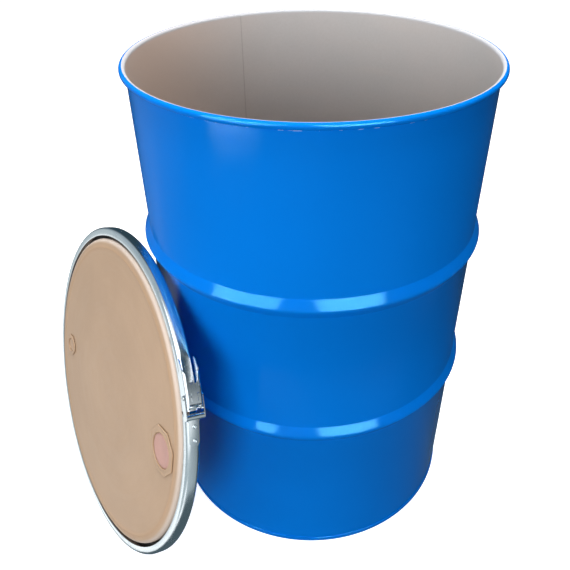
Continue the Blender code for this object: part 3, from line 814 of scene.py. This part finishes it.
def make_bung_plug(name, side, thread, pitch, material):
    """Threaded cup with a flanged head, and a bar across the cup for the bung wrench."""
    end = LID_UNDERSIDE - 1.8
    head = LID_UNDERSIDE + SHEET + 8.2
    cup = thread - 3.0
    disc = [(0.0, end + 0.5), (0.62 * thread, end + 0.5), (0.72 * thread, end), (thread - 1.6, end),
            (thread - 0.8, end + 0.4)]
    threads = thread_line(thread - 0.1, end + 1.0, head - 0.4, pitch)
    first_thread = len(disc)
    last_thread = first_thread + len(threads)
    flange = [(thread + 3.2, head), (thread + 3.8, head + 0.6), (thread + 3.8, head + 1.6),
              (thread + 3.0, head + 2.4), (cup + 0.8, head + 2.4), (cup, head + 1.6),
              (cup, end + 3.2), (cup - 1.0, end + 2.2), (0.0, end + 2.2)]

    def radius_at(index, radius, height, angle):
        if first_thread <= index < last_thread:
            return radius - 0.9 * (1.0 - thread_wave(height, angle, pitch))
        return radius

    centre = (side * BUNG_RADIUS, 0.0)
    body = turned(disc + threads + flange, 96, centre=centre, radius_at=radius_at)
    half = 0.16 * thread
    corners = [(-half, end + 1.4), (half, end + 1.4), (half, head + 0.9), (-half, head + 0.9)]
    bar = extruded(rounded(corners, (0.0, 0.0, 1.2, 1.2), 4), -cup - 1.0, cup + 1.0)
    bar.transform(Matrix(((0.0, 0.0, 1.0, centre[0]), (1.0, 0.0, 0.0, centre[1]),
                          (0.0, 1.0, 0.0, 0.0), (0.0, 0.0, 0.0, 1.0))))
    finish_piece(name + "_plug_pressing", boolean([body, bar], "UNION"), LID, material,
                 name + "_plug", "plug_lacquer", name + "_bung_plug")


def make_bungs():
    for bung in BUNGS:
        make_bung_flange(*bung)
    for bung, material in zip(BUNGS, (PLUG_LACQUER, LID_LACQUER)):
        make_bung_plug(*bung[:4], material)


# ---- Closing ring

def ring_section():
    """C-section with a crowned web, rounded shoulders and lips turned slightly in."""
    out = RING_RADIUS
    wide = RING_HALF_WIDTH
    skin = RING_SHEET
    outer = [(RING_LIP_RADIUS, wide - 0.4), (RING_LIP_RADIUS + 1.2, wide)]
    bend = RING_CORNER
    outer += arc((out - bend, wide - bend), bend, 90.0, 0.0, 8)
    inner = [(RING_LIP_RADIUS, wide - 0.4 - skin), (RING_LIP_RADIUS + 1.2, wide - skin)]
    inner += arc((out - bend, wide - bend), bend - skin, 90.0, 0.0, 8)
    outer += [(radius, -height) for radius, height in reversed(outer)]
    inner += [(radius, -height) for radius, height in reversed(inner)]
    return outer + inner[::-1]


def on_ring(radius, along):
    angle = along / RING_RADIUS
    return (radius * sin(angle), radius * cos(angle))


def make_ring_half(name, first, last, node):
    """One half of the hoop, which flexes from the lid's grip towards its end at the split."""
    per_arc = degrees(1.0 / RING_RADIUS)
    length = abs(last - first)
    notch = RING_NOTCH if last < first else 0.0
    close = [step / FINE_STATIONS * FINE_LENGTH / length for step in range(FINE_STATIONS)]
    even = [step / RING_STATIONS for step in range(RING_STATIONS + 1)
            if step / RING_STATIONS * length > FINE_LENGTH + 1.0]
    direction = 1.0 if last > first else -1.0

    def trim(radius, share):
        lip_share = max(0.0, (RING_RADIUS - 4.0 - radius) / (RING_RADIUS - 4.0 - RING_LIP_RADIUS))
        near_end = max(0.0, 1.0 - share * length / NOTCH_REACH)
        return -direction * notch * (1.0 - lip_share) * near_end / RING_RADIUS

    def radius_at(index, radius, height, angle):
        """Under the lever the web of half A is pressed in between two shoulders."""
        along = (pi / 2.0 - angle) * RING_RADIUS
        low, high = PRESS_ARC
        if notch or not low < along < high or radius < RING_RADIUS - 2.5:
            return radius
        ends = min(1.0, (along - low) / PRESS_ENDS[0], (high - along) / PRESS_ENDS[1])
        across = max(0.0, 1.0 - (abs(height) / PRESS_HALF_WIDTH) ** 4)
        return radius - PRESS_DEPTH * across * ends * ends * (3.0 - 2.0 * ends)

    bm = turned(ring_section(), close + even, 90.0 - first * per_arc,
                (first - last) * per_arc, radius_at=radius_at, trim=trim)
    if not notch:
        near, far = SLOT_ARC
        inner, outer = SLOT_RADII
        slot = [(inner, near), (inner, far), (outer, far), (outer, near)]
        slot = extruded([on_ring(*corner) for corner in slot], *FLANGE_HEIGHTS)
        bm = boolean([bm, slot], "DIFFERENCE")
    piece = finish_piece(name, bm, LATCH, ZINC, None, "zinc_steel", node)
    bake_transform(piece)


def make_ring():
    split = 0.5 * (RING_END_A + RING_END_B)
    half_turn = pi * RING_RADIUS
    make_ring_half("ring_band_a", RING_END_A, split + half_turn, "ring_half_a")
    make_ring_half("ring_band_b", RING_END_B, split - half_turn, "ring_half_b")


# ---- Latch

def folded_across(w, s, rise, side, bend, direction):
    """A strip along the ring, whose sides are folded up (1) or down (-1) at +-side."""
    reach = abs(w)
    sign = 1.0 if w >= 0.0 else -1.0
    flat = side - bend
    turn = bend * pi / 2.0
    if reach <= flat:
        height, across = 0.0, reach
    elif reach <= flat + turn:
        angle = (reach - flat) / bend
        height, across = bend * (1.0 - cos(angle)), flat + bend * sin(angle)
    else:
        height, across = bend + reach - flat - turn, side
    x, y = on_ring(RING_RADIUS + rise + direction * height, s)
    return Vector((x, y, sign * across))


def fold_width(rise, plate_rise, side, bend, direction):
    """Pattern width at which a folded side reaches a rise above the ring."""
    return side - bend + bend * pi / 2.0 + direction * (rise - plate_rise) - bend


def mirrored(half):
    """A closed pattern from its half with w >= 0, listed from one end to the other."""
    return half + [(-w, s) for w, s in reversed(half) if w > 0.0]


def make_lever():
    """Forked lever: a plate over the ring, folded down into two cheeks that run on as prongs."""
    def cheek(rise):
        return fold_width(rise, LEVER_RISE, CHEEK_MIDDLE, LEVER_BEND, -1.0)

    first, last = LEVER_PLATE_ARC
    pivot = cheek(LEVER_PIVOT[1] - RING_RADIUS)
    foot = cheek(-2.2)
    half = [(0.0, first), (8.6, first), (10.6, first - 1.4)]
    half += arc((pivot, 0.0), 5.4, 188.0, 350.0, 10)
    half += [(foot - 1.6, 6.0), (foot, 10.0), (foot, 46.0), (foot - 2.0, 56.0)]
    half += arc((cheek(3.2), PRONG_ARC - 2.2), 2.2, -20.0, 160.0, 6)
    half += [(cheek(9.0), 58.0), (11.2, 50.0), (9.4, 44.0), (8.4, 39.0)]
    half += [(7.4, last + 2.0), (5.4, last + 0.5), (2.4, last), (0.0, last)]
    holes = []
    for sign in (1.0, -1.0):
        link_hole = cheek(LINK_PIVOT[1] - RING_RADIUS)
        holes.append(clear_hole((sign * pivot, 0.0)))
        holes.append(clear_hole((sign * link_hole, LINK_PIVOT[0])))
        # An L-shaped lance either side of the plate
        lance = [(5.0, 8.0), (5.9, 8.0), (5.9, 19.4), (10.4, 19.4), (10.4, 20.3), (5.0, 20.3)]
        holes.append([(sign * w, s) for w, s in lance])

    def shape(w, s):
        # The plate is crowned along the ring, and sinks to the window's lip
        crown = 0.35 * sin(pi * min(1.0, max(0.0, (s - first) / (last - first))))
        return folded_across(w, s, LEVER_RISE + crown - 0.35, CHEEK_MIDDLE, LEVER_BEND, -1.0)

    sheet = pressed_sheet(mirrored(half), holes, 1.1, LEVER_SHEET, shape)
    bevelled(latch_piece("lever_pressing", sheet, "latch_lever", "lever"))


def make_pivot_bracket():
    """Base riveted to ring end A, folded up into an ear on each side of the ring."""
    rise = PLATE_GAP + 0.5 * EAR_SHEET

    def ear(height):
        return fold_width(height, rise, EAR_MIDDLE, 1.6, 1.0)

    pivot = ear(LEVER_PIVOT[1] - RING_RADIUS)
    half = [(0.0, -4.4), (6.4, -4.4), (8.0, -4.0)]
    half += arc((pivot, 0.0), 3.9, -80.0, 80.0, 10)
    half += [(8.0, 4.6), (8.2, 10.0), (7.4, 10.4), (0.0, 10.4)]
    holes = []
    for sign in (1.0, -1.0):
        holes.append(clear_hole((sign * pivot, 0.0)))
        holes.append(clear_hole((sign * PIVOT_RIVET_SIDE, PIVOT_RIVET_ARC), RIVET_RADIUS))

    def shape(w, s):
        return folded_across(w, s, rise, EAR_MIDDLE, 1.6, 1.0)

    sheet = pressed_sheet(mirrored(half), holes, 0.9, EAR_SHEET, shape)
    piece = latch_piece("pivot_bracket_pressing", sheet, "ring_a", "pivot_bracket")
    bevelled(piece)


def make_catch_bracket():
    """Plate riveted to ring end B, whose end is turned up into the lip the link pulls on."""
    rise = PLATE_GAP + 0.2 + 0.5 * CATCH_SHEET
    bend = 1.6
    fold = CATCH_ARC - bend
    lip = CATCH_RISE + 0.7 - rise - bend
    top = fold + bend * pi / 2.0 + lip
    half = [(0.0, top), (9.2, top), (9.9, top - 0.8), (9.9, -21.0), (8.3, -26.0), (8.3, -57.5),
            (4.6, CATCH_PLATE_END + 0.2), (0.0, CATCH_PLATE_END + 0.2)]
    holes = [clear_hole((0.0, along), RIVET_RADIUS) for along in CATCH_RIVET_ARCS]

    def shape(w, s):
        # The sides of the plate droop a little over the ring's crowned web
        droop = 0.45 * (w / 10.0) ** 2
        over = max(0.0, s - fold)
        angle = min(over / bend, pi / 2.0)
        x, y = on_ring(RING_RADIUS + rise - droop, min(s, fold))
        x += bend * sin(angle)
        y += bend * (1.0 - cos(angle)) + max(0.0, over - bend * pi / 2.0)
        return Vector((x, y, w))

    sheet = pressed_sheet(mirrored(half), holes, 1.1, CATCH_SHEET, shape)
    piece = latch_piece("catch_bracket_pressing", sheet, "ring_b", "catch_bracket")
    bevelled(piece)


def make_link():
    """Two straps joined by a rolled hook, which lies over the catch bracket's lip."""
    catch = on_ring(RING_RADIUS + CATCH_RISE, CATCH_ARC)
    hook = arc(catch, 5.0, 2.0, 195.0, 20) + arc(catch, 3.6, 193.0, 4.0, 20)
    inset = STRAP_OUTSIDE - 0.3
    pieces = [extruded(hook, -inset, inset)]
    for side in (-1.0, 1.0):
        outline = arc(LINK_PIVOT, 4.2, -90.0, 90.0, 14) + arc(catch, 5.0, 90.0, 270.0, 16)
        low, high = sorted((side * STRAP_INSIDE, side * STRAP_OUTSIDE))
        pieces.append(extruded(outline, low, high))
    piece = latch_piece("link_pressing", boolean(pieces, "UNION"), "latch_link", "link", sharp=38.0)
    bevelled(piece, 0.35, 50.0)


def make_pins():
    half = CHEEK_MIDDLE + 0.5
    chamfer = 0.4
    straight = [(0.0, -half), (PIN_RADIUS - chamfer, -half), (PIN_RADIUS, chamfer - half),
                (PIN_RADIUS, half - chamfer), (PIN_RADIUS - chamfer, half), (0.0, half)]
    latch_piece("lever_pin_turned", turned(straight, 32, centre=LEVER_PIVOT), "ring_a", "lever_pin")
    inner = STRAP_OUTSIDE + 0.3
    outer = inner + 1.2
    head = PIN_RADIUS + 1.3
    button = [(PIN_RADIUS, inner), (head, inner), (head, inner + 0.4), (head - 0.4, inner + 0.8),
              (head - 1.2, outer), (0.0, outer)]
    profile = [(radius, -height) for radius, height in reversed(button)] + button
    latch_piece("link_pin_riveted", turned(profile, 32, centre=LINK_PIVOT), "latch_lever",
                "link_pin")


def make_rivet(node, along, side, plate_top, body):
    """Tubular rivet: a thin flat head round an open middle."""
    low = plate_top + 0.3
    top = low + RIVET_HEAD
    edge = RIVET_RADIUS + 1.1
    bore = RIVET_RADIUS - 0.6
    profile = [(0.0, -RING_SHEET), (RIVET_RADIUS, -RING_SHEET), (RIVET_RADIUS, low), (edge, low)]
    profile += [(edge, top - 0.2), (edge - 0.3, top), (bore + 0.25, top), (bore, top - 0.25)]
    profile += [(bore, low - RIVET_DEPTH), (0.0, low - RIVET_DEPTH)]
    turn = Matrix.Rotation(-along / RING_RADIUS, 4, "Z")
    seat = Matrix.Translation(turn @ Vector((0.0, RING_RADIUS * MM, 0.0))
                              + Vector((0.0, 0.0, side * MM)))
    place = LATCH @ seat @ turn @ Matrix.Rotation(radians(-90.0), 4, "X")
    latch_piece(node + "_tubular", turned(profile, 32), body, node, place)


def make_latch():
    make_pivot_bracket()
    make_catch_bracket()
    make_lever()
    make_link()
    make_pins()
    for index, along in enumerate(CATCH_RIVET_ARCS):
        make_rivet(f"catch_rivet_{index + 1}", along, 0.0, PLATE_GAP + 2.0, "ring_b")
    for index, side in enumerate((-1.0, 1.0)):
        make_rivet(f"pivot_rivet_{index + 1}", PIVOT_RIVET_ARC, side * PIVOT_RIVET_SIDE,
                   PLATE_GAP + 1.5, "ring_a")


# ---- Stage

CAMERA_PLACE = (-0.5805, -0.8290, 1.150)
CAMERA_FORWARD = (0.44185, 0.66875, -0.59800)
CAMERA_ROLL = -0.007
CAMERA_LENS = 39.84
CAMERA_SHIFT = (-0.0210, 0.0218)

WORLD_LIGHT = (0.23, 0.235, 0.25)
WHITE = (1.0, 1.0, 1.0)
# What the world shows in reflections
MIRRORED_FLOOR = (0.50, 0.58, 0.61)
MIRRORED_SHADE = (0.08, 0.12, 0.14)  # the floor in the drum's own shade
MIRRORED_WALL = (0.42, 0.50, 0.55)
MIRRORED_WINDOW = (1.35, 1.4, 1.42)
MIRRORED_BACK = (0.03, 0.06, 0.08)

AIM = (0.0, 0.0, 0.45)  # the drum's middle, at which the lights point
# Lights: name, azimuth and elevation in degrees, distance, size, power
HIGHLIGHTS = (("highlight_right", -100.0, 26.0, 5.0, (3.4, 4.8), 6400.0),
              ("highlight_left", -166.0, 26.0, 5.0, (3.6, 4.8), 5400.0))
HIGHLIGHT_COLOUR = (0.45, 0.9, 0.85)
GLEAM_PLACE = (-0.70, -0.223, 0.652)
GLEAM_AIM = (-0.26, -0.09, 0.843)
GLEAM_SIZE = (0.34, 0.06)
GLEAM_POWER = 2.5
SHEENS = (("sheen_right", -100.0, 38.0, 5.0, (3.4, 4.2), 105.0),
          ("sheen_left", -166.0, 38.0, 5.0, (3.6, 4.2), 90.0))
FILLS = (("overhead", 0.0, 90.0, 2.9, (2.0, 2.0), 140.0),
         ("fill_front", -141.0, 10.0, 5.0, (2.4, 3.0), 172.0),
         ("fill_left", -185.0, 20.0, 5.0, (3.0, 3.0), 36.0))
FLOOR_SIZE = 8.0
FLOOR_GREY = (0.93, 0.93, 0.93)
FLOOR_GLOW = 0.75


def make_camera():
    camera_data = bpy.data.cameras.new("camera")
    camera_data.sensor_width = 36.0
    camera_data.lens = CAMERA_LENS
    camera_data.shift_x, camera_data.shift_y = CAMERA_SHIFT
    camera_data.clip_end = 100.0
    camera = linked("camera", camera_data)
    forward = Vector(CAMERA_FORWARD).normalized()
    right = forward.cross(Vector((0.0, 0.0, 1.0))).normalized()
    up = right.cross(forward)
    cosine = cos(CAMERA_ROLL)
    sine = sin(CAMERA_ROLL)
    right, up = (right * cosine + up * sine, up * cosine - right * sine)
    matrix = Matrix.Identity(4)
    for row in range(3):
        matrix[row] = (right[row], up[row], -forward[row], CAMERA_PLACE[row])
    camera.matrix_world = matrix
    bpy.context.scene.camera = camera


def area_light(name, place, target, size, power, colour=WHITE):
    light = bpy.data.lights.new(name, "AREA")
    light.shape = "RECTANGLE"
    light.size, light.size_y = size
    light.energy = power
    light.color = colour
    item = linked(name, light)
    item.location = place
    item.rotation_euler = (Vector(target) - Vector(place)).to_track_quat("-Z", "Y").to_euler()
    return item


def softbox(name, azimuth, elevation, distance, size, power, colour=WHITE):
    """A rectangular light aimed at the drum's middle."""
    flat = distance * cos(radians(elevation))
    place = (flat * cos(radians(azimuth)), flat * sin(radians(azimuth)),
             AIM[2] + distance * sin(radians(elevation)))
    return area_light(name, place, AIM, size, power, colour)


def reflected_only(lights, name, pieces):
    """Lights that are seen in the gloss of some pieces, and light nothing else."""
    receivers = bpy.data.collections.new(name)
    for piece in pieces:
        receivers.objects.link(piece)
    for light in lights:
        light.visible_diffuse = False
        light.light_linking.receiver_collection = receivers


def studio_world():
    """White surroundings that give a dim light from all sides.

    In reflections they show a studio instead, with a pale floor that is dark beside the drum,
    a wall, a bright window in front, a lit patch low on the left, and a dark side behind.
    """
    nodes = Nodes("studio", "worlds", "Background", "Generated")
    x, y, z = nodes.split()

    def toward(line):
        return nodes.add("ShaderNodeVectorMath", {0: nodes.coords, 1: Vector(line)},
                         operation="DOT_PRODUCT").outputs["Value"]

    window = MIRRORED_WINDOW
    wall = nodes.mix(nodes.ramp(y, 0.1, -0.5), MIRRORED_WALL, window)
    mirrored = nodes.mix(nodes.ramp(z, -0.16, 0.06), MIRRORED_FLOOR, wall)
    patch = nodes.times(nodes.ramp(toward((-1.0, 0.0, 0.5)), 0.12, 0.22),
                        nodes.ramp(z, -0.33, -0.45))
    patch = nodes.times(patch, nodes.ramp(x, -0.82, -0.76))
    mirrored = nodes.mix(patch, mirrored, window)
    behind = nodes.ramp(toward((0.95, 0.3, 0.0)), -0.1, 0.4)
    mirrored = nodes.mix(behind, mirrored, MIRRORED_BACK)
    mirrored = nodes.mix(nodes.ramp(z, -0.68, -0.73), mirrored, MIRRORED_SHADE)
    path = nodes.add("ShaderNodeLightPath").outputs
    seen = nodes.mix(path["Is Glossy Ray"], WORLD_LIGHT, mirrored)
    nodes.set(Color=nodes.mix(path["Is Camera Ray"], seen, WHITE))
    bpy.context.scene.world = nodes.owner


def make_floor():
    """White paper that fades into the background and stays out of reflections."""
    floor_mesh = bmesh.new()
    bmesh.ops.create_grid(floor_mesh, x_segments=1, y_segments=1, size=FLOOR_SIZE)
    mesh = bpy.data.meshes.new("floor")
    floor_mesh.to_mesh(mesh)
    floor_mesh.free()
    floor = linked("floor", mesh)
    floor.visible_glossy = False
    floor.visible_diffuse = False
    floor.visible_shadow = False
    nodes = Nodes("floor_paper")
    nodes.set(Base_Color=FLOOR_GREY, Roughness=0.8, Emission_Color=WHITE,
              Emission_Strength=FLOOR_GLOW)
    mesh.materials.append(nodes.owner)


def make_lights():
    highlights = [softbox(*row, HIGHLIGHT_COLOUR) for row in HIGHLIGHTS]
    gleam = area_light("gleam", GLEAM_PLACE, GLEAM_AIM, GLEAM_SIZE, GLEAM_POWER)
    gleam.visible_camera = False
    reflected_only(highlights + [gleam], "enamelled",
                   [bpy.data.objects[name] for name in ("drum_body", "drum_bottom")])
    plated = [piece for piece in bpy.context.scene.objects
              if piece.type == "MESH" and ZINC.name in piece.data.materials]
    reflected_only([softbox(*row) for row in SHEENS], "plated", plated)
    for row in FILLS:
        softbox(*row).visible_glossy = False


make_body()
make_bottom()
make_lid()
make_gasket()
make_bungs()
make_ring()
make_latch()
make_camera()
make_floor()
studio_world()
make_lights()
bpy.context.scene.view_settings.view_transform = "Standard"

for name, node in frame["nodes"].items():
    if name.endswith(("gasket", "compound")):
        node.data.materials.clear()
        node.data.materials.append(RUBBER)
